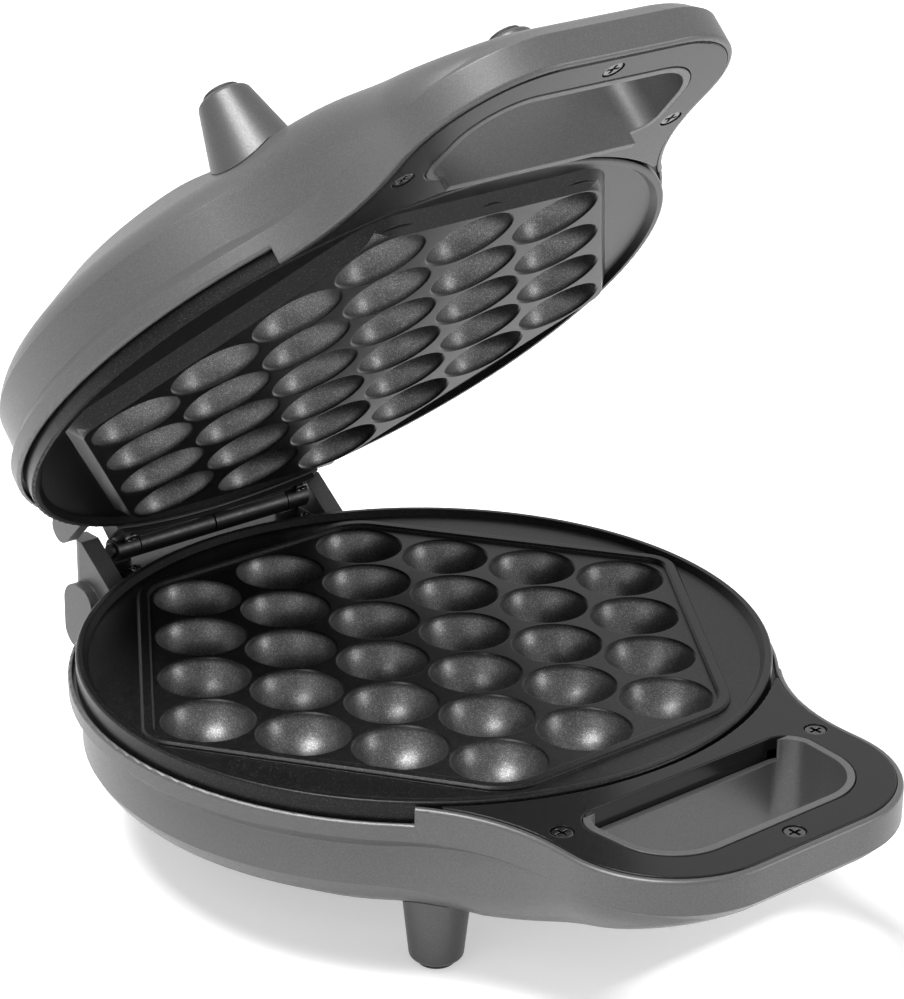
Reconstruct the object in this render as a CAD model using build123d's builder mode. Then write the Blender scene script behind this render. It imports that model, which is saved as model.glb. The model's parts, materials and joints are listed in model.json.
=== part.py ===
from build123d import *
from math import asin, atan2, cos, degrees, hypot, radians, sin, sqrt, tan
import os

# A bubble waffle maker that stands open: two like halves, each a shell with a
# holed handle, a cup plate, its heater and four feet, joined by one hinge.
#
# Each piece is drawn in the frame of its own half: the cup plane is z = 0, +Z
# points to the other half, the hinge is at +Y and the handle at -Y. The lid is
# the same half turned over. All sizes are in millimetres.

# Fit between the halves
closed_gap = 4.0
open_angle = 45.0

# Cup plate
cup_pitch = 29.0
cup_row_step = 21.6
cup_radius = 12.27
cup_depth = 10.0
cup_rows = [3, 4, 5, 6, 5, 4, 3]
plate_radius = 94.4
plate_slab = 3.4
plate_rim_top = 2.0
plate_rim_foot = 3.4
plate_rim_height = 1.8
plate_rim_round = 0.7
plate_skirt = 2.4
cup_floor = 2.8
cup_bevel = 0.35

# Hexagon round the cups: a rib on the base, the edge of a raised field on the lid
hexagon_flat = 79.4
hexagon_side = 75.6
hexagon_angle = 34.0
hexagon_corner_round = 14.0
hexagon_point_round = 8.0
rib_width = 3.4
rib_height = 1.2
rib_slope = 0.6
field_shoulder = 3.3
field_inset = 4.2

# Shell
wall = 2.4
shell_depth = 35.0
tub_radius = 93.2
shell_round = 12.0
bowl_edge = 22.2
bowl_slope = 31.5
bowl_round = 16.0
bowl_spread = 1.5
band_radius = 96.6
band_height = 4.4
rim_wall = 1.6
rim_round = 1.0
plate_gap = 1.1
ledge_drop = 2.0
ring_width = 2.5

# Handle
handle_half = 50.5
handle_reach = 147.3
handle_corner = 32.0
band_blend = 56.0
tub_blend = 66.0
raised_angle = 41.0
underside_start = 38.0
underside_points = [(60.0, 30.1), (80.0, 27.6), (95.0, 24.3), (108.0, 19.8), (122.0, 15.1), (135.0, 11.4)]
underside_end = (155.0, 9.2)
underside_slope = 0.05

# Finger hole
hole_back = 101.0
hole_front = 134.6
hole_back_half = 38.5
hole_front_half = 36.0
hole_back_corner = 8.0
hole_front_corner = 17.0
lip_wall = 2.0
lip_stand = 0.2
lip_sunk = 6.0
lip_proud = 3.5
lip_end = 4.5

# Black trim on the handle
trim_thickness = 3.5
trim_gap = 0.2
trim_end_angle = 37.0
trim_skirt = 8.0
trim_skirt_wall = 1.6
trim_edge_round = 0.4

# Screws
trim_screw_x = 43.7
trim_screw_y = 104.8
trim_screw_front = 140.0
trim_screw_head = 3.0
trim_screw_head_height = 1.7
trim_screw_shank = 1.4
trim_screw_length = 9.0
screw_clearance = 0.06
slot_width = 0.9
slot_reach = 1.3
slot_depth = 0.6
head_round = 0.33
boss_wall = 2.1

# Feet
foot_x = 46.8
foot_y = 61.8
foot_height = 14.0
foot_root = 16.0
foot_tip_radius = 7.0
foot_tip_round = 1.8
foot_sink = 13.0
foot_seat_gap = 0.1
pad_thickness = 1.4
pad_radius = 5.0
pad_round = 0.5
pad_stem = 3.0
pad_fit = 0.1
foot_screw_shank = 1.75
foot_screw_head = 3.2
foot_screw_head_height = 2.4
foot_screw_seat = 7.0
foot_screw_bite = 10.0
boss_radius = 5.0
post_radius = 4.5

# Heater
element_ring = 52.0
element_tube = 3.3
element_z = -14.5
element_fit = 0.08
element_end_angle = 14.0
element_bend = 7.0
element_leg = 5.0
terminal_radius = 1.5
terminal_length = 4.5
seat_wall = 1.8
reflector_z = -22.0
reflector_sheet = 0.6
pan_clearance = 1.0
reflector_margin = 0.5
reflector_slope = 7.0
reflector_rise = 12.0
clip_count = 3
clip_angle = 40.0
clip_width = 7.0
clip_sheet = 1.0
clip_gap = 0.3

# Thermostat, fuse and terminal block
thermostat_radius = 8.0
thermostat_height = 7.5
thermostat_neck = 6.0
thermostat_pad = 9.0
tab_length = 8.5
tab_thickness = 0.8
tab_width = 4.0
fuse_radius = 2.2
fuse_length = 16.0
fuse_round = 0.7
block_length = 26.0
block_width = 13.0
block_height = 8.0
block_edge = 0.8
block_ways = 3
block_y = 60.5
lead_radius = 1.1
lead_bend = 3.3
lead_drop = 8.0
lead_bay = 7.7
lead_aside = 6.6
lead_touch = 0.05

# Hinge
hinge_y = 99.0
hinge_z = 4.2
barrel_radius = 3.5
barrel_half = 26.4
knuckle_length = 7.6
knuckle_gap = 0.3
barrel_seam = 0.5
hinge_pin_radius = 1.5
hinge_pin_fit = 0.05
hinge_pin_head = 2.4
hinge_pin_head_thickness = 0.9
hinge_pin_head_taper = 20.0
leaf_sheet = 1.6
leaf_rear = 103.5
leaf_floor = -2.6
lid_tab_rear = 95.0
hinge_screw_x = 30.6
hinge_screw_y = 92.9
hinge_screw_head = 2.1
hinge_screw_head_height = 1.2
hinge_screw_shank = 1.3
hinge_screw_length = 7.0

# Hinge housing on the base, and the lugs beside it
housing_half = 43.0
housing_rear = 108.0
housing_depth = 24.0
housing_round = 5.0
cheek_wall = 6.0
cheek_top = 8.0
cheek_front = 88.0
lug_width = 3.2
lug_length = 14.0
lug_inset = 1.0
lug_round = 6.0
lug_top = -4.0
seat_root = 47.0
lid_block_half = 36.0
lid_block_rear = 95.6
lid_block_depth = 18.0
lid_lug_x = 44.0
lid_lug_width = 4.0
lid_lug_rear = 101.0
lid_lug_top = -6.0
lid_lug_depth = 8.5
lid_lug_length = 24.0
lid_lug_round = 4.0

# Cord inlet
inlet_z = -14.0
inlet_bore = 3.6
inlet_sleeve = 5.4
inlet_flange = 7.2
inlet_flange_thickness = 2.2
inlet_round = 0.7

# Lamps on the outer face of the lid
lamp_radius = 3.0
lamp_spacing = 11.0
lamp_y = 30.0
lamp_stand = 0.9
lamp_dome = 0.7
lamp_depth = 7.0

# What differs between the halves: heights of the shell's rim, of the handle's
# raised edge, of the trim and of the plate outside the hexagon, and how wide a
# foot is at its root
HALVES = {
    "base": {"rim": -3.5, "raised": 1.2, "trim": 1.5, "moat": 0.0, "foot": 8.7},
    "lid": {"rim": -7.0, "raised": -2.6, "trim": -2.3, "moat": -4.4, "foot": 11.3},
}

# Margins of the drawing itself: how far a cutting body passes a face, and the
# slack with which an edge is recognised by its height
overshoot = 1.0
slack = 0.05
reach_over = 400.0

# Derived sizes
recess_radius = plate_radius + plate_gap
ring_outer = recess_radius + ring_width
base_floor = HALVES["base"]["rim"] - shell_depth
lid_floor = HALVES["lid"]["rim"] - shell_depth
stand_height = foot_height - base_floor
cup_sphere = (cup_radius**2 + cup_depth**2) / (2 * cup_depth)
cup_centre = cup_sphere - cup_depth
cup_latitude = -degrees(asin((cup_centre + plate_slab / 2) / (cup_sphere + cup_floor)))
trim_screw_places = [(-trim_screw_x, -trim_screw_y), (trim_screw_x, -trim_screw_y), (0, -trim_screw_front)]
foot_places = {
    "front_left": (-foot_x, -foot_y),
    "front_right": (foot_x, -foot_y),
    "rear_left": (-foot_x, foot_y),
    "rear_right": (foot_x, foot_y),
}
hinge_screw_places = [(-hinge_screw_x, hinge_screw_y), (hinge_screw_x, hinge_screw_y)]
reflector_floor = sqrt(foot_x**2 + foot_y**2) + post_radius + reflector_margin
reflector_edge = reflector_floor + reflector_slope


def outline(round_radius, blend, inset):
    """Plan of a shell: a disc with the handle drawn out of it to the front."""
    across = handle_half + blend
    down = sqrt((round_radius + blend) ** 2 - across**2)
    side = handle_half - inset
    front = handle_reach - inset
    corner = handle_corner - inset
    disc = round_radius - inset
    bend = blend + inset
    start = degrees(atan2(down, -across))
    share = disc / (round_radius + blend)
    with BuildSketch() as plan:
        Circle(disc)
        with BuildLine():
            CenterArc((across, -down), bend, start, 180 - start)
            Line((side, -down), (side, corner - front))
            CenterArc((side - corner, corner - front), corner, 0, -90)
            Line((side - corner, -front), (corner - side, -front))
            CenterArc((corner - side, corner - front), corner, -90, -90)
            Line((-side, corner - front), (-side, -down))
            CenterArc((-across, -down), bend, 0, 180 - start)
            Line((-across * share, -down * share), (across * share, -down * share))
        make_face()
    return plan.sketch


def finger_hole(grow):
    """Plan of the finger hole, grown outwards: straight to the plate, round to the front."""
    with BuildSketch() as plan:
        with BuildLine():
            Polyline(
                (-hole_back_half, -hole_back),
                (hole_back_half, -hole_back),
                (hole_front_half, -hole_front),
                (-hole_front_half, -hole_front),
                close=True,
            )
        make_face()
        fillet(plan.vertices().group_by(Axis.Y)[-1], hole_back_corner)
        fillet(plan.vertices().group_by(Axis.Y)[0], hole_front_corner)
        if grow:
            offset(amount=grow, kind=Kind.ARC)
    return plan.sketch


def upright(inset, rim, top):
    """Outer form with upright sides and round low edges, whose underside rises under the handle."""
    bottom = rim - shell_depth + inset
    with BuildPart() as form:
        with BuildSketch(Plane.XY.offset(top)):
            add(outline(tub_radius, tub_blend, inset))
        extrude(amount=bottom - top)
        start = (-underside_start, bottom)
        end = (-underside_end[0], rim - underside_end[1] + inset)
        with BuildSketch(Plane.YZ):
            with BuildLine():
                between = [(-y, rim - drop + inset) for y, drop in underside_points]
                Spline(start, *between, end, tangents=[(-1, 0), (-1, underside_slope)])
                Polyline(end, (end[0], bottom - wall), (start[0], bottom - wall), start)
            make_face()
        extrude(amount=tub_radius, both=True, mode=Mode.SUBTRACT)
        level = form.edges().filter_by(Axis.Z, reverse=True)
        low = level.filter_by(lambda e: e.center().Z < top - overshoot)
        fold = low.filter_by(Axis.X).sort_by(Axis.Y)[-1]
        fillet([e for e in low if e != fold], shell_round - inset)
    return form.part


def sloped(inset, rim, top):
    """Outer form with a sloped shoulder under a round edge, a little wider than the shell above it."""
    lean = radians(bowl_slope)
    edge_z = rim - bowl_edge + inset * (1 - sin(lean)) / cos(lean) + bowl_spread * tan(lean)
    with BuildPart() as form:
        with BuildSketch(Plane.XY.offset(top + overshoot)):
            add(outline(tub_radius, tub_blend, inset - bowl_spread))
        extrude(amount=edge_z - top - overshoot)
        with BuildSketch(Plane.XY.offset(edge_z)):
            add(outline(tub_radius, tub_blend, inset - bowl_spread))
        extrude(amount=rim - shell_depth - edge_z, taper=90 - bowl_slope)
        level = form.edges().filter_by(Axis.Z, reverse=True)
        fillet(level.filter_by(lambda e: abs(e.center().Z - edge_z) < slack), bowl_round - inset)
    return form.part


def tub(inset, rim, top):
    """Solid of the outer form of a shell, drawn in by inset."""
    with BuildPart() as form:
        add(upright(inset, rim, top))
        add(sloped(inset, rim, top), mode=Mode.INTERSECT)
    return form.part


def band(rim, raised):
    """Raised band round the top of a shell, with a sloped foot that fades into the handle."""
    with BuildPart() as ring:
        with BuildSketch(Plane.XY.offset(raised)):
            add(outline(band_radius, band_blend, 0))
        step = band_radius - tub_radius
        extrude(amount=rim - band_height - step - raised)
        chamfer(ring.faces().sort_by(Axis.Z)[0].edges(), step - slack)
    return ring.part


def wedge(angle, radius):
    """Plan of the sector towards the handle, a share of a circle either side of -Y."""
    with BuildSketch() as plan:
        with BuildLine():
            Line((0, 0), (radius * sin(radians(angle)), -radius * cos(radians(angle))))
            CenterArc((0, 0), radius, angle - 90, -2 * angle)
            Line((-radius * sin(radians(angle)), -radius * cos(radians(angle))), (0, 0))
        make_face()
    return plan.sketch


def shell(name, rim, raised, trim_top):
    """One moulded half of the housing, with its finger hole, ledges, bosses and hinge seat."""
    ledge = rim - ledge_drop
    seat = trim_top - trim_thickness
    with BuildPart() as hollow:
        add(tub(wall, rim, raised + overshoot))
        with BuildSketch(Plane.XY.offset(raised + overshoot)):
            Circle(ring_outer)
            Circle(tub_radius - wall, mode=Mode.SUBTRACT)
            add(finger_hole(0))
            with Locations(*trim_screw_places):
                Circle(trim_screw_shank + boss_wall)
        extrude(amount=-2 * shell_depth, mode=Mode.SUBTRACT)
        with BuildSketch(Plane.XY.offset(reflector_z - reflector_sheet)):
            with Locations(*foot_places.values()):
                Circle(boss_radius)
        extrude(amount=-shell_depth, mode=Mode.SUBTRACT)

    with BuildPart() as body:
        add(tub(0, rim, raised))
        add(band(rim, raised))
        with BuildSketch(Plane.XY.offset(rim)):
            Circle(reach_over)
            add(wedge(raised_angle, reach_over), mode=Mode.SUBTRACT)
        extrude(amount=shell_depth, mode=Mode.SUBTRACT)
        outer = body.edges().filter_by(lambda e: hypot(e.center().X, e.center().Y) > recess_radius)
        upper = outer.filter_by(lambda e: e.center().Z > rim - rim_round)
        fillet(upper.filter_by(lambda e: abs(e.center().Z - (e @ 0).Z) < slack), rim_round)
        with BuildSketch(Plane.XY.offset(trim_top + lip_stand)):
            add(finger_hole(0))
        extrude(amount=-(trim_top + lip_stand - raised) - wall)
        if name == "base":
            add(base_housing())
        else:
            add(lid_housing())
        add(hollow.part, mode=Mode.SUBTRACT)
        with BuildSketch(Plane.XY.offset(ledge)):
            Circle(recess_radius)
        extrude(amount=shell_depth, mode=Mode.SUBTRACT)
        with BuildSketch(Plane.XY.offset(seat)):
            add(outline(band_radius, band_blend, rim_wall))
            Circle(recess_radius, mode=Mode.SUBTRACT)
            add(finger_hole(0), mode=Mode.SUBTRACT)
            Rectangle(reach_over, reach_over, align=(Align.CENTER, Align.MIN), mode=Mode.SUBTRACT)
        extrude(amount=shell_depth, mode=Mode.SUBTRACT)
        straight = hole_back_half - hole_back_corner + lip_end
        bar_y = -hole_back - lip_wall / 2
        if name == "base":
            with BuildSketch(Plane.XY.offset(trim_top - lip_sunk)):
                with Locations((0, bar_y)):
                    Rectangle(2 * straight, lip_wall + 2 * trim_gap)
            extrude(amount=shell_depth, mode=Mode.SUBTRACT)
        else:
            with BuildSketch(Plane.XY.offset(trim_top)):
                with Locations((0, bar_y)):
                    Rectangle(2 * (straight - lip_end), lip_wall)
            extrude(amount=lip_proud)
        with BuildSketch(Plane.XY.offset(-reach_over)):
            add(finger_hole(-lip_wall))
        extrude(amount=2 * reach_over, mode=Mode.SUBTRACT)
        with BuildSketch(Plane.XY.offset(raised + shell_depth)):
            with Locations(*trim_screw_places):
                Circle(trim_screw_shank + screw_clearance)
        extrude(amount=-(raised + shell_depth - seat + trim_screw_length), mode=Mode.SUBTRACT)
        with BuildSketch(Plane.XY.offset(-reach_over)):
            with Locations(*foot_places.values()):
                Circle(foot_screw_shank + screw_clearance)
        extrude(amount=reach_over, mode=Mode.SUBTRACT)
        with BuildSketch(Plane.XY.offset(leaf_floor)):
            with Locations(*hinge_screw_places):
                Circle(hinge_screw_shank + screw_clearance)
        extrude(amount=-hinge_screw_length, mode=Mode.SUBTRACT)
        if name == "base":
            with BuildSketch(Plane.XZ.offset(-housing_rear - overshoot)):
                with Locations((0, inlet_z)):
                    Circle(inlet_sleeve + pad_fit)
            extrude(amount=housing_rear + overshoot - tub_radius + 2 * wall, mode=Mode.SUBTRACT)
        else:
            with BuildSketch(Plane.XY.offset(lid_floor - overshoot)):
                with Locations(*[(x, -lamp_y) for x in (-lamp_spacing / 2, lamp_spacing / 2)]):
                    Circle(lamp_radius + pad_fit)
            extrude(amount=wall + 2 * overshoot, mode=Mode.SUBTRACT)
    return body.part


def base_housing():
    """Seat of the hinge at the back of the base, between two sloped cheeks with a lug outside each."""
    with BuildPart() as seat:
        with BuildSketch(Plane.XY.offset(leaf_floor)):
            with Locations((0, housing_rear)):
                Rectangle(2 * housing_half, housing_rear - seat_root, align=(Align.CENTER, Align.MAX))
            Circle(tub_radius - wall, mode=Mode.SUBTRACT)
        extrude(amount=-housing_depth - leaf_floor)
        with BuildSketch(Plane.YZ):
            with BuildLine():
                Polyline(
                    (cheek_front, -housing_depth),
                    (housing_rear, -housing_depth),
                    (housing_rear, cheek_top),
                    (housing_rear - cheek_wall, cheek_top),
                    (cheek_front, leaf_floor),
                    close=True,
                )
            make_face()
        extrude(amount=housing_half, both=True)
        with BuildSketch(Plane.XY.offset(leaf_floor)):
            Rectangle(2 * (housing_half - cheek_wall), reach_over)
        extrude(amount=shell_depth, mode=Mode.SUBTRACT)
        rear = seat.edges().filter_by(Axis.Z).group_by(Axis.Y)[-1]
        fillet(rear.filter_by(lambda e: abs(e.center().X) > housing_half - cheek_wall / 2), housing_round)
        fillet(seat.edges().filter_by(lambda e: e.center().Y > tub_radius).group_by(Axis.Z)[0], wall)
        for side in (-1, 1):
            with BuildSketch(Plane.YZ.offset(side * (housing_half - wall))) as face:
                with Locations((housing_rear - lug_inset, lug_top)):
                    Rectangle(lug_length, housing_depth + lug_top, align=(Align.MAX, Align.MAX))
                fillet(face.vertices(), lug_round)
            extrude(amount=side * (lug_width + wall))
    return seat.part


def lid_housing():
    """Seat of the hinge on the lid, kept in front of the hinge, and its two lugs."""
    with BuildPart() as seat:
        with BuildSketch(Plane.XY.offset(leaf_floor)):
            with Locations((0, lid_block_rear)):
                Rectangle(2 * lid_block_half, lid_block_rear - seat_root, align=(Align.CENTER, Align.MAX))
            Circle(tub_radius - wall, mode=Mode.SUBTRACT)
        extrude(amount=-lid_block_depth - leaf_floor)
        for side in (-1, 1):
            with BuildSketch(Plane.YZ.offset(side * lid_lug_x)) as face:
                with Locations((lid_lug_rear, lid_lug_top)):
                    Rectangle(lid_lug_length, lid_lug_depth, align=(Align.MAX, Align.MAX))
                fillet(face.vertices().group_by(Axis.X)[-1], lid_lug_round)
            extrude(amount=side * lid_lug_width)
    return seat.part


def cup_places():
    """Middles of the cups: rows across the plate, each shifted half a cup against the next."""
    places = []
    for row, count in enumerate(cup_rows):
        y = (len(cup_rows) // 2 - row) * cup_row_step
        places += [((column - (count - 1) / 2) * cup_pitch, y) for column in range(count)]
    return places


def hexagon(grow):
    """Plan of the hexagon round the cups, with round corners, grown outwards."""
    lean = radians(hexagon_angle)
    point_x = hexagon_side / cos(lean)
    corner_x = (hexagon_side - hexagon_flat * sin(lean)) / cos(lean)
    flat = hexagon_flat
    with BuildSketch() as plan:
        with BuildLine():
            Polyline(
                (-point_x, 0),
                (-corner_x, -flat),
                (corner_x, -flat),
                (point_x, 0),
                (corner_x, flat),
                (-corner_x, flat),
                close=True,
            )
        make_face()
        turns = plan.vertices()
        fillet(turns.filter_by(lambda v: abs(v.Y) > slack), hexagon_corner_round)
        fillet(plan.vertices().filter_by(lambda v: abs(v.Y) < slack), hexagon_point_round)
        offset(amount=grow, kind=Kind.ARC)
    return plan.sketch


def rib():
    """Raised rib along the hexagon, with its upper edges sloped."""
    with BuildPart() as ring:
        with BuildSketch(Plane.XY.offset(-rib_slope)):
            add(hexagon(rib_width / 2))
            add(hexagon(-rib_width / 2), mode=Mode.SUBTRACT)
        extrude(amount=rib_height + rib_slope)
        chamfer(ring.faces().sort_by(Axis.Z)[-1].edges(), rib_slope)
    return ring.part


def field(moat):
    """Raised field that carries the cups, with sloped sides and hollow beneath."""
    with BuildPart() as block:
        with BuildSketch(Plane.XY.offset(moat)):
            add(hexagon(field_shoulder - rib_width / 2))
        extrude(amount=-moat, taper=degrees(atan2(field_shoulder, -moat)))
        with BuildSketch(Plane.XY.offset(moat)):
            add(hexagon(field_shoulder - rib_width / 2))
        extrude(amount=-plate_slab)
        with BuildSketch(Plane.XY.offset(-plate_slab)):
            add(hexagon(-rib_width / 2 - field_inset))
        extrude(amount=moat, mode=Mode.SUBTRACT)
    return block.part


def plate(ledge, moat):
    """Cast cup plate: thirty cups in a hexagon, a raised rim, a skirt and the heater's seat."""
    inner = plate_radius - plate_skirt
    with BuildPart() as body:
        with BuildSketch(Plane.XZ):
            with BuildLine():
                Polyline(
                    (0, moat),
                    (plate_radius - plate_rim_foot, moat),
                    (plate_radius - plate_rim_top, moat + plate_rim_height),
                    (plate_radius, moat + plate_rim_height),
                    (plate_radius, ledge),
                    (inner, ledge),
                    (inner, moat - plate_slab),
                    (0, moat - plate_slab),
                    close=True,
                )
            make_face()
        revolve(axis=Axis.Z)
        edge = body.edges().filter_by(GeomType.CIRCLE).group_by(Axis.Z)[-1].sort_by(SortBy.RADIUS)[-1]
        fillet(edge, plate_rim_round)
        if moat < 0:
            with BuildSketch(Plane.XY.offset(moat)):
                add(hexagon(-rib_width / 2 - field_inset))
            extrude(amount=-plate_slab, mode=Mode.SUBTRACT)
            add(field(moat))
        else:
            add(rib())
        with Locations(*[(x, y, cup_centre) for x, y in cup_places()]):
            Sphere(cup_sphere + cup_floor, arc_size1=-90, arc_size2=cup_latitude, align=None)
        with BuildSketch(Plane.XY.offset(-plate_slab / 2)):
            Circle(element_ring + element_tube + seat_wall)
            Circle(element_ring - element_tube - seat_wall, mode=Mode.SUBTRACT)
            Circle(thermostat_pad)
        extrude(amount=element_z + plate_slab / 2)
        with BuildSketch(Plane.XY.offset(moat - plate_slab / 2)):
            with Locations(*foot_places.values()):
                Circle(post_radius)
        extrude(amount=reflector_z - moat + plate_slab / 2)
        with Locations((0, 0, element_z)):
            Torus(element_ring, element_tube + element_fit, mode=Mode.SUBTRACT)
        with Locations(*[(x, y, cup_centre) for x, y in cup_places()]):
            Sphere(cup_sphere, mode=Mode.SUBTRACT)
        with Locations(*[(x, y, slack) for x, y in cup_places()]):
            Cone(
                cup_radius - overshoot,
                cup_radius + cup_bevel + slack,
                cup_bevel + overshoot + slack,
                align=(Align.CENTER, Align.CENTER, Align.MAX),
                mode=Mode.SUBTRACT,
            )
        with BuildSketch(Plane.XY.offset(reflector_z)):
            with Locations(*foot_places.values()):
                Circle(foot_screw_shank + screw_clearance)
        extrude(amount=foot_screw_bite + overshoot, mode=Mode.SUBTRACT)
    return body.part


def trim(name, trim_top):
    """Black insert that closes the hollow handle, cut round the finger hole."""
    with BuildPart() as cover:
        with BuildSketch(Plane.XY.offset(trim_top)):
            add(outline(band_radius, band_blend, rim_wall + trim_gap))
            add(wedge(trim_end_angle, reach_over), mode=Mode.INTERSECT)
            Circle(recess_radius + trim_gap, mode=Mode.SUBTRACT)
            add(finger_hole(trim_gap), mode=Mode.SUBTRACT)
        extrude(amount=-trim_thickness)
        fillet(cover.faces().sort_by(Axis.Z)[-1].edges(), trim_edge_round)
        if name == "base":
            with BuildSketch(Plane.XY.offset(trim_top - trim_edge_round)):
                with Locations((0, trim_gap - hole_back)):
                    length = 2 * (hole_back_half - hole_back_corner)
                    Rectangle(length, trim_skirt_wall, align=(Align.CENTER, Align.MIN))
            extrude(amount=-trim_skirt)
        with Locations(*[(x, y, trim_top) for x, y in trim_screw_places]):
            CounterBoreHole(
                trim_screw_shank + screw_clearance,
                trim_screw_head + screw_clearance,
                trim_screw_head_height + trim_gap,
                trim_thickness,
            )
    return cover.part


def screw(head_radius, head_height, shank_radius, length):
    """Cross-head screw: its head stands on z = 0 and its shank hangs below."""
    with BuildPart() as body:
        Cylinder(head_radius, head_height, align=(Align.CENTER, Align.CENTER, Align.MIN))
        fillet(body.edges().sort_by(Axis.Z)[-1], head_height * head_round)
        with BuildSketch(Plane.XY.offset(head_height)):
            Rectangle(head_radius * slot_reach, slot_width)
            Rectangle(slot_width, head_radius * slot_reach)
        extrude(amount=-head_height * slot_depth, mode=Mode.SUBTRACT)
        Cylinder(shank_radius, length, align=(Align.CENTER, Align.CENTER, Align.MAX))
    return body.part


def trim_screws(trim_top):
    """The three screws of one trim."""
    seat = trim_top - trim_screw_head_height - trim_gap
    with BuildPart() as group:
        with Locations(*[(x, y, seat) for x, y in trim_screw_places]):
            add(screw(trim_screw_head, trim_screw_head_height, trim_screw_shank, trim_screw_length))
    return group.part


def foot(x, y, form, bottom, root_radius):
    """Tapered foot, cut to the form of the shell, with a stepped bore for its screw."""
    tip = bottom - foot_height + pad_thickness
    spread = (root_radius - foot_tip_radius) / foot_root
    rise = foot_height - pad_thickness + foot_sink
    with BuildPart() as body:
        with BuildSketch(Plane.XY.offset(tip)):
            with Locations((x, y)):
                Circle(foot_tip_radius)
        with BuildSketch(Plane.XY.offset(tip + rise)):
            with Locations((x, y)):
                Circle(foot_tip_radius + spread * rise)
        loft()
        fillet(body.edges().group_by(Axis.Z)[0], foot_tip_round)
        add(form, mode=Mode.SUBTRACT)
        with BuildSketch(Plane.XY.offset(tip)):
            with Locations((x, y)):
                Circle(foot_screw_head + pad_fit)
        extrude(amount=foot_screw_seat, mode=Mode.SUBTRACT)
        with BuildSketch(Plane.XY.offset(tip)):
            with Locations((x, y)):
                Circle(foot_screw_shank + screw_clearance)
        extrude(amount=foot_height + foot_sink, mode=Mode.SUBTRACT)
    return body.part


def foot_pads(bottom):
    """The rubber tips of four feet, each with a stem in the foot's bore."""
    tip = bottom - foot_height
    with BuildPart() as group:
        with BuildSketch(Plane.XY.offset(tip)):
            with Locations(*foot_places.values()):
                Circle(pad_radius)
        extrude(amount=pad_thickness)
        fillet(group.edges().group_by(Axis.Z)[0], pad_round)
        with BuildSketch(Plane.XY.offset(tip + pad_thickness)):
            with Locations(*foot_places.values()):
                Circle(foot_screw_head - pad_fit)
        extrude(amount=pad_stem)
    return group.part


def foot_screws(bottom):
    """The four long screws that clamp feet, shell, pan and plate together."""
    seat = bottom - foot_height + pad_thickness + foot_screw_seat
    length = reflector_z - seat + foot_screw_bite
    upright = screw(foot_screw_head, foot_screw_head_height, foot_screw_shank, length)
    with BuildPart() as group:
        with Locations(*[Location((x, y, seat), (180, 0, 0)) for x, y in foot_places.values()]):
            add(upright)
    return group.part


def element():
    """Tubular heating element: an open ring whose two ends turn down into the shell."""
    ring_end = radians(90 + element_end_angle)
    start = Vector(element_ring * cos(ring_end), element_ring * sin(ring_end), element_z)
    inward = Vector(sin(ring_end), -cos(ring_end), 0)
    down = Vector(0, 0, -1)
    half_bend = radians(90) / 2
    knee = element_bend * (1 - cos(half_bend))
    mid = start + inward * (element_bend * sin(half_bend)) + down * knee
    low = start + inward * element_bend + down * element_bend
    foot_end = low + down * element_leg
    mirrored = [Vector(-v.X, v.Y, v.Z) for v in (start, mid, low, foot_end)]
    with BuildPart() as tube:
        with BuildLine() as path:
            Line(foot_end, low)
            ThreePointArc(low, mid, start)
            ThreePointArc(start, (0, -element_ring, element_z), mirrored[0])
            ThreePointArc(mirrored[0], mirrored[1], mirrored[2])
            Line(mirrored[2], mirrored[3])
        with BuildSketch(Plane(origin=foot_end, z_dir=(0, 0, 1))):
            Circle(element_tube)
        sweep(path=path.line)
        with Locations(foot_end, mirrored[3]):
            Cylinder(terminal_radius, terminal_length, align=(Align.CENTER, Align.CENTER, Align.MAX))
    return tube.part


def element_legs():
    """Plan places of the element's two legs."""
    ring_end = radians(90 + element_end_angle)
    x = element_ring * cos(ring_end) + element_bend * sin(ring_end)
    y = element_ring * sin(ring_end) - element_bend * cos(ring_end)
    return [(x, y), (-x, y)]


def element_clips():
    """Three sheet clips that hold the element up against its seat."""
    under = element_z - element_tube - element_fit
    half = element_tube + clip_gap
    with BuildPart() as group:
        with PolarLocations(element_ring, clip_count, start_angle=clip_angle):
            with Locations((0, 0, under)):
                Box(
                    2 * (half + clip_sheet),
                    clip_width,
                    clip_sheet,
                    align=(Align.CENTER, Align.CENTER, Align.MAX),
                )
            with Locations((half + clip_sheet / 2, 0, under), (-half - clip_sheet / 2, 0, under)):
                Box(clip_sheet, clip_width, element_z - under, align=(Align.CENTER, Align.CENTER, Align.MIN))
    return group.part


def reflector():
    """Sheet pan under the element, with a sloped edge and holes for what passes through."""
    with BuildPart() as pan:
        with BuildSketch(Plane.XZ):
            with BuildLine():
                Polyline(
                    (0, reflector_z),
                    (reflector_floor, reflector_z),
                    (reflector_edge, reflector_z + reflector_rise),
                    (reflector_edge + reflector_sheet, reflector_z + reflector_rise),
                    (reflector_floor + reflector_sheet, reflector_z - reflector_sheet),
                    (0, reflector_z - reflector_sheet),
                    close=True,
                )
            make_face()
        revolve(axis=Axis.Z)
        with BuildSketch(Plane.XY.offset(reflector_z)):
            Circle(thermostat_radius + pan_clearance)
            with Locations(*element_legs()):
                Circle(element_tube + pan_clearance)
            with Locations(*foot_places.values()):
                Circle(foot_screw_shank + screw_clearance)
        extrude(amount=-reflector_sheet, mode=Mode.SUBTRACT)
    return pan.part


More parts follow.
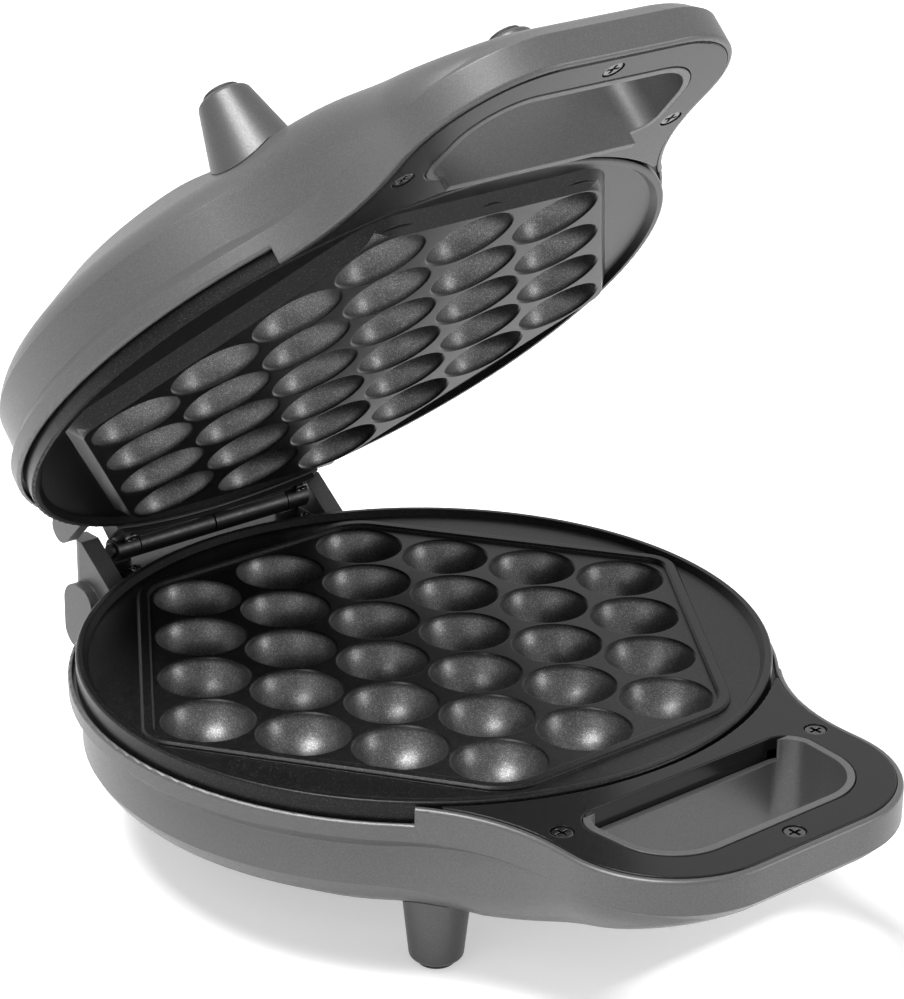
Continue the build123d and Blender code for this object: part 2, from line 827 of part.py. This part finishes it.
def thermostat():
    """Disc thermostat against the middle of the plate, with two tabs."""
    with BuildPart() as body:
        with BuildSketch(Plane.XY.offset(element_z)):
            Circle(thermostat_radius)
        extrude(amount=-thermostat_height / 2)
        with BuildSketch(Plane.XY.offset(element_z - thermostat_height / 2)):
            Circle(thermostat_neck)
        extrude(amount=-thermostat_height / 2)
        with BuildSketch(Plane.XY.offset(element_z - thermostat_height)):
            with Locations((-thermostat_radius / 2, 0), (thermostat_radius / 2, 0)):
                Rectangle(tab_thickness, tab_width)
        extrude(amount=-tab_length)
    return body.part


def base_leaf():
    """Lower hinge leaf: a strip on the base with a short knuckle at each end."""
    half = barrel_half + knuckle_gap + knuckle_length
    with BuildPart() as leaf:
        with BuildSketch(Plane.XY.offset(leaf_floor)):
            with Locations((0, leaf_rear)):
                Rectangle(2 * half, leaf_rear - seat_root, align=(Align.CENTER, Align.MAX))
            Circle(recess_radius + trim_gap, mode=Mode.SUBTRACT)
        extrude(amount=leaf_sheet)
        for side in (-1, 1):
            with BuildSketch(Plane.YZ.offset(side * (barrel_half + knuckle_gap))):
                with Locations((hinge_y, hinge_z)):
                    Circle(barrel_radius)
                with Locations((hinge_y + barrel_radius, hinge_z)):
                    Rectangle(leaf_sheet, hinge_z - leaf_floor, align=(Align.MAX, Align.MAX))
            extrude(amount=side * knuckle_length)
        with BuildSketch(Plane.YZ.offset(-half)):
            with Locations((hinge_y, hinge_z)):
                Circle(hinge_pin_radius + hinge_pin_fit)
        extrude(amount=2 * half, mode=Mode.SUBTRACT)
        with BuildSketch(Plane.XY.offset(leaf_floor)):
            with Locations(*hinge_screw_places):
                Circle(hinge_screw_shank + screw_clearance)
        extrude(amount=leaf_sheet, mode=Mode.SUBTRACT)
    return leaf.part


def lid_leaf():
    """Upper hinge leaf: two long barrels on a strip that is screwed to the lid at its ends."""
    half = barrel_half + knuckle_gap + knuckle_length
    axis_z = closed_gap - hinge_z
    with BuildPart() as leaf:
        with BuildSketch(Plane.XY.offset(leaf_floor)):
            with Locations((0, lid_tab_rear)):
                Rectangle(2 * half, lid_tab_rear - seat_root, align=(Align.CENTER, Align.MAX))
            with Locations((0, hinge_y)):
                Rectangle(2 * barrel_half, hinge_y - seat_root, align=(Align.CENTER, Align.MAX))
            Circle(recess_radius + trim_gap, mode=Mode.SUBTRACT)
        extrude(amount=leaf_sheet)
        for side in (-1, 1):
            with BuildSketch(Plane.YZ.offset(side * barrel_seam / 2)):
                with Locations((hinge_y, axis_z)):
                    Circle(barrel_radius)
            extrude(amount=side * (barrel_half - barrel_seam / 2))
        with BuildSketch(Plane.YZ.offset(-half)):
            with Locations((hinge_y, axis_z)):
                Circle(hinge_pin_radius + hinge_pin_fit)
        extrude(amount=2 * half, mode=Mode.SUBTRACT)
        with BuildSketch(Plane.XY.offset(leaf_floor)):
            with Locations(*hinge_screw_places):
                Circle(hinge_screw_shank + screw_clearance)
        extrude(amount=leaf_sheet, mode=Mode.SUBTRACT)
    return leaf.part


def hinge_pin():
    """Pin through all four barrels, headed at both ends."""
    half = barrel_half + knuckle_gap + knuckle_length + knuckle_gap
    with BuildPart() as pin:
        with BuildSketch(Plane.YZ.offset(-half)):
            with Locations((hinge_y, hinge_z)):
                Circle(hinge_pin_radius)
        extrude(amount=2 * half)
        for side in (-1, 1):
            with BuildSketch(Plane.YZ.offset(side * half)):
                with Locations((hinge_y, hinge_z)):
                    Circle(hinge_pin_head)
            extrude(amount=side * hinge_pin_head_thickness, taper=hinge_pin_head_taper)
    return pin.part


def hinge_screws():
    """The two screws of one hinge leaf."""
    seat = leaf_floor + leaf_sheet
    with BuildPart() as group:
        with Locations(*[(x, y, seat) for x, y in hinge_screw_places]):
            add(screw(hinge_screw_head, hinge_screw_head_height, hinge_screw_shank, hinge_screw_length))
    return group.part


def cord_inlet():
    """Rubber bush in the back of the base, where a mains cord would enter."""
    with BuildPart() as bush:
        with BuildSketch(Plane.XZ.offset(-housing_rear)):
            with Locations((0, inlet_z)):
                Circle(inlet_flange)
        extrude(amount=-inlet_flange_thickness)
        fillet(bush.edges().group_by(Axis.Y)[-1], inlet_round)
        with BuildSketch(Plane.XZ.offset(-housing_rear)):
            with Locations((0, inlet_z)):
                Circle(inlet_sleeve)
        extrude(amount=housing_rear - tub_radius + wall)
        with BuildSketch(Plane.XZ.offset(-housing_rear - inlet_flange_thickness)):
            with Locations((0, inlet_z)):
                Circle(inlet_bore)
        extrude(amount=housing_rear, mode=Mode.SUBTRACT)
    return bush.part


def terminal_block():
    """Block on the floor of the base where the leads meet, with its screw holes."""
    floor_z = base_floor + wall
    with BuildPart() as block:
        with BuildSketch(Plane.XY.offset(floor_z)):
            with Locations((0, block_y)):
                Rectangle(block_length, block_width)
        extrude(amount=block_height)
        chamfer(block.faces().sort_by(Axis.Z)[-1].edges(), block_edge)
        with BuildSketch(Plane.XY.offset(floor_z + block_height)):
            with Locations((0, block_y)):
                with GridLocations(block_length / block_ways, block_width / 2, block_ways, 2):
                    Circle(lead_radius)
        extrude(amount=-block_height / 2, mode=Mode.SUBTRACT)
    return block.part


def lead(points):
    """Insulated lead along a route of straight runs with rounded corners."""
    with BuildPart() as wire:
        with BuildLine() as path:
            FilletPolyline(*points, radius=lead_bend)
        with BuildSketch(Plane(origin=path.line @ 0, z_dir=path.line % 0)):
            Circle(lead_radius)
        sweep(path=path.line)
    return wire.part


def thermal_fuse():
    """Thermal fuse lying under the pan."""
    with BuildPart() as body:
        with Locations((0, element_ring / 2, reflector_z - reflector_sheet - fuse_radius)):
            Cylinder(fuse_radius, fuse_length, rotation=(0, 90, 0))
        fillet(body.edges(), fuse_round)
    return body.part


def lamps(index):
    """One indicator lamp in the outer face of the lid: a domed lens with a collar inside."""
    x = (index - 0.5) * lamp_spacing
    with BuildPart() as lens:
        with BuildSketch(Plane.XY.offset(lid_floor - lamp_stand)):
            with Locations((x, -lamp_y)):
                Circle(lamp_radius)
        extrude(amount=lamp_stand + wall)
        fillet(lens.edges().group_by(Axis.Z)[0], lamp_dome)
        with BuildSketch(Plane.XY.offset(lid_floor + wall)):
            with Locations((x, -lamp_y)):
                Circle(lamp_radius + wall / 2)
        extrude(amount=lamp_depth - wall)
    return lens.part


def lead_routes():
    """Routes of the base's leads: block to element, block to thermostat, and both through the fuse."""
    level = reflector_z - lead_drop
    fuse_level = reflector_z - reflector_sheet - fuse_radius
    fuse_y = element_ring / 2
    leg_x, leg_y = abs(element_legs()[0][0]), element_legs()[0][1]
    pin = terminal_radius + lead_touch
    tab = thermostat_radius / 2 + tab_thickness / 2
    side = block_length / 2
    aside = fuse_length / 2 + lead_aside
    return {
        "block_to_element_lead": [
            (-side, block_y, level),
            (-side - lead_bay, block_y, level),
            (-side - lead_bay, leg_y, level),
            (-leg_x - pin, leg_y, level),
        ],
        "block_to_thermostat_lead": [
            (side, block_y, level),
            (side + lead_bay, block_y, level),
            (side + lead_bay, 0, level),
            (tab, 0, level),
        ],
        "thermostat_to_fuse_lead": [
            (-tab, 0, fuse_level - lead_radius),
            (-aside, 0, fuse_level - lead_radius),
            (-aside, fuse_y, fuse_level),
            (-fuse_length / 2, fuse_y, fuse_level),
        ],
        "fuse_to_element_lead": [
            (fuse_length / 2, fuse_y, fuse_level),
            (aside, fuse_y, fuse_level),
            (aside, leg_y - lead_bay - 2 * lead_radius, level),
            (leg_x, leg_y - lead_bay - 2 * lead_radius, level),
            (leg_x, leg_y - pin, level),
        ],
    }


# The base stands on its feet. The lid is the same half turned over, set on it
# at the closed gap and swung open about the hinge.
base_place = Location((0, 0, stand_height))
swing = Location((0, hinge_y, hinge_z)) * Location((0, 0, 0), (-open_angle, 0, 0))
lid_place = base_place * swing * Location((0, -hinge_y, closed_gap - hinge_z), (0, 180, 0))
PLACES = {"base": base_place, "lid": lid_place}

pieces = {}
for half, heights in HALVES.items():
    rim, raised, trim_top = heights["rim"], heights["raised"], heights["trim"]
    bottom = rim - shell_depth
    made = {
        "shell": shell(half, rim, raised, trim_top),
        "plate": plate(rim - ledge_drop, heights["moat"]),
        "handle_trim": trim(half, trim_top),
        "trim_screws": trim_screws(trim_top),
        "foot_pads": foot_pads(bottom),
        "foot_screws": foot_screws(bottom),
        "element": element(),
        "element_clips": element_clips(),
        "reflector": reflector(),
        "hinge_leaf": base_leaf() if half == "base" else lid_leaf(),
        "hinge_screws": hinge_screws(),
    }
    form = tub(-foot_seat_gap, rim, 0)
    for corner, (x, y) in foot_places.items():
        made["foot_" + corner] = foot(x, y, form, bottom, heights["foot"])
    for name, piece in made.items():
        pieces[half + "_" + name] = piece.moved(PLACES[half])

in_base = {
    "hinge_pin": hinge_pin(),
    "cord_inlet": cord_inlet(),
    "terminal_block": terminal_block(),
    "thermostat": thermostat(),
    "thermal_fuse": thermal_fuse(),
}
for name, route in lead_routes().items():
    in_base[name] = lead(route)
for name, piece in in_base.items():
    pieces[name] = piece.moved(base_place)
pieces["power_lamp"] = lamps(0).moved(lid_place)
pieces["ready_lamp"] = lamps(1).moved(lid_place)

# In plan the middle of the whole, as it stands, is the origin
spans = [piece.bounding_box() for piece in pieces.values()]
middle_y = (min(span.min.Y for span in spans) + max(span.max.Y for span in spans)) / 2

os.makedirs("parts", exist_ok=True)
for name, piece in pieces.items():
    placed = piece.moved(Location((0, -middle_y, 0)))
    placed.label = name
    export_step(placed, "parts/" + name + ".step")
print("plate middle stands at y", round(-middle_y, 3))
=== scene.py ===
import json
from math import cos, radians, sin

import bpy
from mathutils import Matrix, Vector


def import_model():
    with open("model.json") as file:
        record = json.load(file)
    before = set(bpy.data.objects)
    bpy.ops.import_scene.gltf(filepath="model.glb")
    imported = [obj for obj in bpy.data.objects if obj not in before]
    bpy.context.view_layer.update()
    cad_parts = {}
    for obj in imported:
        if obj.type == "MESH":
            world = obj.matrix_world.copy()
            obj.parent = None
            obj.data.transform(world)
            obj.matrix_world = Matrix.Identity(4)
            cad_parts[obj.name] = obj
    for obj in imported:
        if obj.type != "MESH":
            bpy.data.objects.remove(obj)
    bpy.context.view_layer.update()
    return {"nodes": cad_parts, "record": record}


# Bubble waffle maker: looks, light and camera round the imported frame.
# Lengths are in metres, texture scales in cells per metre and powers in watts.
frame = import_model()
nodes = frame["nodes"]

WHITE = (1.0, 1.0, 1.0)
OPAQUE_WHITE = (*WHITE, 1.0)
# Most values of a noise texture lie between these two
NOISE_LOW, NOISE_HIGH = 0.3, 0.7
EDGE_SAMPLES = 6


# Node helpers

def fill(tree, target, inputs):
    """Gives a node's inputs, by name or number, their values or the outputs that feed them."""
    for key, value in inputs.items():
        if isinstance(value, bpy.types.NodeSocket):
            tree.links.new(value, target.inputs[key])
        else:
            target.inputs[key].default_value = value


def node(tree, kind, inputs, **settings):
    """New node of a kind with its inputs filled and its settings made."""
    made = tree.nodes.new(kind)
    for name, value in settings.items():
        setattr(made, name, value)
    fill(tree, made, inputs)
    return made


def material(name):
    """New material: returns it, its node tree and its shader."""
    made = bpy.data.materials.new(name)
    made.use_nodes = True
    return made, made.node_tree, made.node_tree.nodes["Principled BSDF"]


def place(tree):
    """Position in the piece's own coordinates, which are the frame's at rest."""
    return tree.nodes.new("ShaderNodeTexCoord").outputs["Object"]


def noise(tree, scale, detail, rough=0.55):
    """Cloudy value."""
    inputs = {"Vector": place(tree), "Scale": scale, "Detail": detail, "Roughness": rough}
    return node(tree, "ShaderNodeTexNoise", inputs).outputs["Fac"]


def cells(tree, scale):
    """Random value per small cell, for flakes and speckles."""
    texture = node(tree, "ShaderNodeTexVoronoi", {"Vector": place(tree), "Scale": scale})
    split = node(tree, "ShaderNodeSeparateColor", {"Color": texture.outputs["Color"]})
    return split.outputs["Red"]


def tones(tree, source, stops, level=1.0, tint=WHITE):
    """Shades of one tint over a value; stops are (position, share of the level)."""
    made = node(tree, "ShaderNodeValToRGB", {"Fac": source})
    band = made.color_ramp
    while len(band.elements) < len(stops):
        band.elements.new(0.5)
    for element, (position, share) in zip(band.elements, stops):
        element.position = position
        element.color = (*(level * share * part for part in tint), 1.0)
    return made.outputs["Color"]


def span(tree, source, low, high, start=0.0, end=1.0):
    """Maps a value from start..end to low..high."""
    inputs = {"Value": source, "From Min": start, "From Max": end, "To Min": low, "To Max": high}
    return node(tree, "ShaderNodeMapRange", inputs).outputs["Result"]


def soft_edges(tree, radius):
    """Normal that rounds the hard edges by a small radius."""
    return node(tree, "ShaderNodeBevel", {"Radius": radius}, samples=EDGE_SAMPLES).outputs["Normal"]


def bump(tree, height, strength, depth, under):
    """Bump of the given depth on top of another normal."""
    inputs = {"Height": height, "Strength": strength, "Distance": depth, "Normal": under}
    return node(tree, "ShaderNodeBump", inputs).outputs["Normal"]


def mix(tree, factor, first, second, blend="MIX"):
    """Mix of two colours by a number or a value."""
    made = node(tree, "ShaderNodeMix", {}, data_type="RGBA", blend_type=blend)
    sockets = {(socket.name, socket.type): number for number, socket in enumerate(made.inputs)}
    fill(tree, made, {
        sockets["Factor", "VALUE"]: factor,
        sockets["A", "RGBA"]: first,
        sockets["B", "RGBA"]: second,
    })
    return [socket for socket in made.outputs if socket.type == "RGBA"][0]


def maths(tree, operation, first, second=0.5):
    """One step of arithmetic on values or numbers."""
    return node(tree, "ShaderNodeMath", {0: first, 1: second}, operation=operation).outputs[0]


def vector_maths(tree, operation, first, second=(0.0, 0.0, 0.0)):
    """One step of vector arithmetic: returns the outputs, Value and Vector."""
    return node(tree, "ShaderNodeVectorMath", {0: first, 1: second}, operation=operation).outputs


def seen(tree):
    """1 for the camera, in reflections and through glass, 0 for the light on the object."""
    path = tree.nodes.new("ShaderNodeLightPath").outputs
    either = maths(tree, "MAXIMUM", path["Is Camera Ray"], path["Is Glossy Ray"])
    return maths(tree, "MAXIMUM", either, path["Is Transmission Ray"])


# Looks

def metallic_paint(name, level):
    """Grey metallic paint over moulded plastic: very fine flakes and a slight orange peel."""
    made, tree, shader = material(name)
    flakes = cells(tree, scale=7000.0)
    cloud = noise(tree, scale=9.0, detail=2.0)
    grain = noise(tree, scale=1800.0, detail=2.0)
    base = tones(tree, flakes, [(0.0, 0.82), (0.5, 1.0), (0.9, 1.15), (1.0, 1.5)], level)
    shade = tones(tree, cloud, [(NOISE_LOW, 0.97), (NOISE_HIGH, 1.03)])
    edges = soft_edges(tree, radius=0.0004)
    peel = bump(tree, grain, strength=0.08, depth=0.00006, under=edges)
    fill(tree, shader, {
        "Base Color": mix(tree, 1.0, base, shade, "MULTIPLY"),
        "Metallic": 0.45,
        "Roughness": span(tree, grain, 0.36, 0.46, NOISE_LOW, NOISE_HIGH),
        "Normal": bump(tree, flakes, strength=0.05, depth=0.00003, under=peel),
    })
    return made


# The cups' field on both plates is a hexagon: half its width along the direction
# to the hinge, half its width across its slanted sides, and those sides' normal
FIELD_FLAT, FIELD_SIDE = 0.0778, 0.0742
FIELD_NORMAL_ASIDE, FIELD_NORMAL_ALONG = 0.829, 0.559
# Heights over the cup plane where the cups' pale speckle, a painted highlight, starts and where it
# is full
PAINTED_HIGHLIGHT_START, PAINTED_HIGHLIGHT_FULL = -0.0003, -0.0016


def cup_mask(tree, middle, back, up):
    """1 inside the cups of a plate and 0 on its flat faces; it places the cups' painted highlight.
    """
    offset = vector_maths(tree, "SUBTRACT", place(tree), middle)["Vector"]

    def reach(direction):
        return vector_maths(tree, "DOT_PRODUCT", offset, direction)["Value"]

    aside = maths(tree, "ABSOLUTE", reach((1, 0, 0)))
    along = maths(tree, "ABSOLUTE", reach(back))
    deep = span(tree, reach(up), 0.0, 1.0, PAINTED_HIGHLIGHT_START, PAINTED_HIGHLIGHT_FULL)
    slanted = maths(
        tree, "ADD",
        maths(tree, "MULTIPLY", aside, FIELD_NORMAL_ASIDE),
        maths(tree, "MULTIPLY", along, FIELD_NORMAL_ALONG),
    )
    in_sides = maths(tree, "LESS_THAN", slanted, FIELD_SIDE)
    in_flats = maths(tree, "LESS_THAN", along, FIELD_FLAT)
    return maths(tree, "MULTIPLY", deep, maths(tree, "MULTIPLY", in_sides, in_flats))


def non_stick(name, middle, back, up):
    """Non-stick coating of a cast plate: near black, with a pale metallic speckle in the cups that
    is painted highlight.

    The plate is given by the middle of its cup plane and by its directions to the hinge
    and out of the cups.
    """
    made, tree, shader = material(name)
    cups = cup_mask(tree, middle, back, up)
    flecks = cells(tree, scale=5600.0)
    grain = noise(tree, scale=1900.0, detail=2.0)
    cloud = noise(tree, scale=160.0, detail=4.0)
    flat = tones(tree, flecks, [(0.0, 0.004), (0.82, 0.006), (0.94, 0.015), (1.0, 0.05)])
    # Pale speckle in the cups: painted highlight, much lighter than the flats' near black
    painted_highlight_speckle = tones(tree, flecks, [(0.0, 0.055), (0.5, 0.08), (0.85, 0.115), (1.0, 0.20)])
    shade = tones(tree, cloud, [(NOISE_LOW, 0.85), (NOISE_HIGH, 1.12)])
    both = mix(tree, cups, flat, painted_highlight_speckle)
    edges = soft_edges(tree, radius=0.0004)
    peel = bump(tree, grain, strength=0.16, depth=0.0001, under=edges)
    fill(tree, shader, {
        "Base Color": mix(tree, 1.0, both, shade, "MULTIPLY"),
        "Metallic": span(tree, cups, 0.0, 0.85),
        "Roughness": span(tree, cups, 0.32, 0.38),
        "IOR": 1.25,
        "Normal": bump(tree, flecks, strength=0.05, depth=0.00003, under=peel),
    })
    return made


def gloss_plastic(name, level, rough=0.16):
    """Moulded gloss plastic with a faint ripple and fine dust."""
    made, tree, shader = material(name)
    ripple = noise(tree, scale=60.0, detail=2.0)
    dust = noise(tree, scale=2200.0, detail=2.0)
    edges = soft_edges(tree, radius=0.0003)
    fill(tree, shader, {
        "Base Color": tones(tree, dust, [(0.45, 1.0), (0.75, 1.7)], level),
        "Roughness": span(tree, dust, rough, rough + 0.10, 0.4, 0.7),
        "IOR": 1.22,
        "Normal": bump(tree, ripple, strength=0.05, depth=0.0003, under=edges),
    })
    return made


def satin_metal(name, level, rough, metallic=1.0, scale=700.0):
    """Sheet or turned metal with fine streaks and a little stain."""
    made, tree, shader = material(name)
    streak = noise(tree, scale, detail=4.0, rough=0.7)
    stain = noise(tree, scale=45.0, detail=4.0)
    edges = soft_edges(tree, radius=0.00025)
    fill(tree, shader, {
        "Base Color": tones(tree, stain, [(NOISE_LOW, 0.85), (NOISE_HIGH, 1.1)], level),
        "Metallic": metallic,
        "Roughness": span(tree, streak, rough - 0.07, rough + 0.1, NOISE_LOW, NOISE_HIGH),
        "Normal": bump(tree, streak, strength=0.12, depth=0.00006, under=edges),
    })
    return made


def rubber(name, level, tint=WHITE):
    """Matt rubber or silicone with a dusty grain."""
    made, tree, shader = material(name)
    grain = noise(tree, scale=1300.0, detail=4.0)
    edges = soft_edges(tree, radius=0.0003)
    fill(tree, shader, {
        "Base Color": tones(tree, grain, [(0.35, 0.85), (0.7, 1.25)], level, tint),
        "Roughness": span(tree, grain, 0.62, 0.8, NOISE_LOW, NOISE_HIGH),
        "Normal": bump(tree, grain, strength=0.2, depth=0.0001, under=edges),
    })
    return made


def lens(name, tint):
    """Clear coloured lamp lens."""
    made, tree, shader = material(name)
    swirl = noise(tree, scale=300.0, detail=2.0)
    fill(tree, shader, {
        "Base Color": tones(tree, swirl, [(0.35, 0.7), (0.7, 1.0)], tint=tint),
        "Roughness": span(tree, swirl, 0.08, 0.14, NOISE_LOW, NOISE_HIGH),
        "Transmission Weight": 0.35,
    })
    return made


# One look for each of the record's material slots
looks = {
    "shell": metallic_paint("grey_metallic_paint", level=0.08),
    # The foot's paint is the shell's paint made darker: painted shade that tones down its highlight
    "foot": metallic_paint("grey_metallic_paint_foot_shaded", level=0.06),
    "trim": gloss_plastic("black_gloss_plastic", level=0.008),
    "hinge": satin_metal("satin_black_metal", level=0.03, rough=0.36, metallic=0.8),
    "dark_screw": satin_metal("dark_screw_steel", level=0.10, rough=0.24),
    "screw": satin_metal("zinc_steel", level=0.55, rough=0.30),
    "pad": rubber("black_rubber", level=0.018),
    "element": satin_metal("heater_tube_steel", level=0.24, rough=0.42),
    "sheet_steel": satin_metal("plain_sheet_steel", level=0.58, rough=0.32),
    "reflector": satin_metal("aluminised_sheet", level=0.62, rough=0.36, scale=260.0),
    "ceramic": gloss_plastic("pale_ceramic", level=0.62, rough=0.3),
    "fuse": satin_metal("brass_can", level=0.45, rough=0.3),
    "lead": rubber("pale_silicone", level=0.55, tint=(1.0, 0.97, 0.90)),
    "red_lens": lens("red_lamp_lens", (0.55, 0.02, 0.015)),
    "green_lens": lens("green_lamp_lens", (0.03, 0.40, 0.07)),
}

# The two plates have a look of their own, because their cups lie in different planes:
# the base's is level, and the lid's leans by the angle at which the lid stands open
CUP_PLANE = 0.0525
TILT = sin(radians(45.0))
plates = {
    "base_plate": non_stick(
        "black_non_stick_base",
        middle=(0, 0.015818, CUP_PLANE), back=(0, 1, 0), up=(0, 0, 1),
    ),
    "lid_plate": non_stick(
        "black_non_stick_lid",
        middle=(0, 0.044673, 0.126562), back=(0, TILT, -TILT), up=(0, -TILT, -TILT),
    ),
}
for part in frame["record"]["subparts"]:
    target = nodes[part["node"]]
    target.data.materials.clear()
    target.data.materials.append(plates.get(part["node"]) or looks[part["material_slot"]])


# Stage

FLOOR_HALF = 4.0
FLOOR_DROP = 0.0002
# Glow the floor adds where it is seen, painted light that grows with distance: little near the
# object, where its shadow shows, and more far away, which stays white in low views
GLOW_NEAR, GLOW_FAR = 0.45, 0.85
GLOW_STARTS, GLOW_ENDS = 0.5, 1.6


def floor():
    """Pale floor, white where it is seen or mirrored, with the object's soft shadow."""
    half = FLOOR_HALF
    mesh = bpy.data.meshes.new("floor")
    corners = [(-half, -half, 0), (half, -half, 0), (half, half, 0), (-half, half, 0)]
    mesh.from_pydata(corners, [], [(0, 1, 2, 3)])
    plane = bpy.data.objects.new("floor", mesh)
    plane.location.z = -FLOOR_DROP
    bpy.context.scene.collection.objects.link(plane)
    made, tree, shader = material("pale_floor")
    stain = noise(tree, scale=4.0, detail=2.0)
    distance = vector_maths(tree, "LENGTH", place(tree))["Value"]
    glow = span(tree, distance, GLOW_NEAR, GLOW_FAR, GLOW_STARTS, GLOW_ENDS)
    fill(tree, shader, {
        "Base Color": tones(tree, stain, [(NOISE_LOW, 0.80), (NOISE_HIGH, 0.83)]),
        "Roughness": 0.85,
        "Specular IOR Level": 0.15,
        "Emission Color": OPAQUE_WHITE,
        "Emission Strength": maths(tree, "MULTIPLY", seen(tree), glow),
    })
    mesh.materials.append(made)


SURROUND_LIGHT = 0.32


def world():
    """Plain pale surround, white where it is seen or mirrored."""
    made = bpy.data.worlds.new("surround")
    bpy.context.scene.world = made
    made.use_nodes = True
    tree = made.node_tree
    fill(tree, tree.nodes["Background"], {
        "Color": OPAQUE_WHITE,
        "Strength": span(tree, seen(tree), SURROUND_LIGHT, 1.0),
    })


LIT_POINT = (0.0, 0.0, 0.10)


def soft_light(name, stand, size, power):
    """Area light that stands at a place and is turned to the object."""
    lamp = bpy.data.lights.new(name, "AREA")
    lamp.shape = "RECTANGLE"
    lamp.size, lamp.size_y = size
    lamp.energy = power
    holder = bpy.data.objects.new(name, lamp)
    bpy.context.scene.collection.objects.link(holder)
    holder.location = stand
    towards = Vector(LIT_POINT) - Vector(stand)
    holder.rotation_euler = towards.to_track_quat("-Z", "Y").to_euler()


floor()
world()
soft_light("overhead_light", stand=(-0.45, 0.05, 1.42), size=(0.7, 0.7), power=38.0)
soft_light("left_light", stand=(-1.3, -0.5, 0.9), size=(1.2, 1.0), power=4.0)
soft_light("right_light", stand=(1.0, -1.3, 0.5), size=(0.5, 0.5), power=9.0)


# Camera at the photograph's view, solved from the cups; pixels are those of a
# 904 x 999 frame
FRAME_LONG_SIDE = 999.0
SENSOR = 36.0
FOCAL_PIXELS = 3187.3
SHIFT_PIXELS = (-0.8, 1.66)
CLIP_START = 0.01
DISTANCE = 0.96286
AZIMUTH, ELEVATION, ROLL = radians(-40.29), radians(22.44), radians(0.56)
TARGET = Vector((0.0723, 0.089698, CUP_PLANE))


def camera():
    """Camera that looks at the target from its distance and angles, turned by the roll."""
    back = Vector((sin(AZIMUTH) * cos(ELEVATION), -cos(AZIMUTH) * cos(ELEVATION), sin(ELEVATION)))
    right = (-back).cross(Vector((0, 0, 1))).normalized()
    up = right.cross(-back)
    tilted_right = right * cos(ROLL) + up * sin(ROLL)
    tilted_up = up * cos(ROLL) - right * sin(ROLL)
    optics = bpy.data.cameras.new("camera")
    optics.sensor_width = SENSOR
    optics.lens = FOCAL_PIXELS / FRAME_LONG_SIDE * SENSOR
    optics.shift_x, optics.shift_y = (shift / FRAME_LONG_SIDE for shift in SHIFT_PIXELS)
    optics.clip_start = CLIP_START
    viewer = bpy.data.objects.new("camera", optics)
    bpy.context.scene.collection.objects.link(viewer)
    turn = Matrix((tilted_right, tilted_up, back)).transposed().to_4x4()
    viewer.matrix_world = Matrix.Translation(TARGET + back * DISTANCE) @ turn
    bpy.context.scene.camera = viewer


camera()
bpy.context.scene.view_settings.view_transform = "Standard"
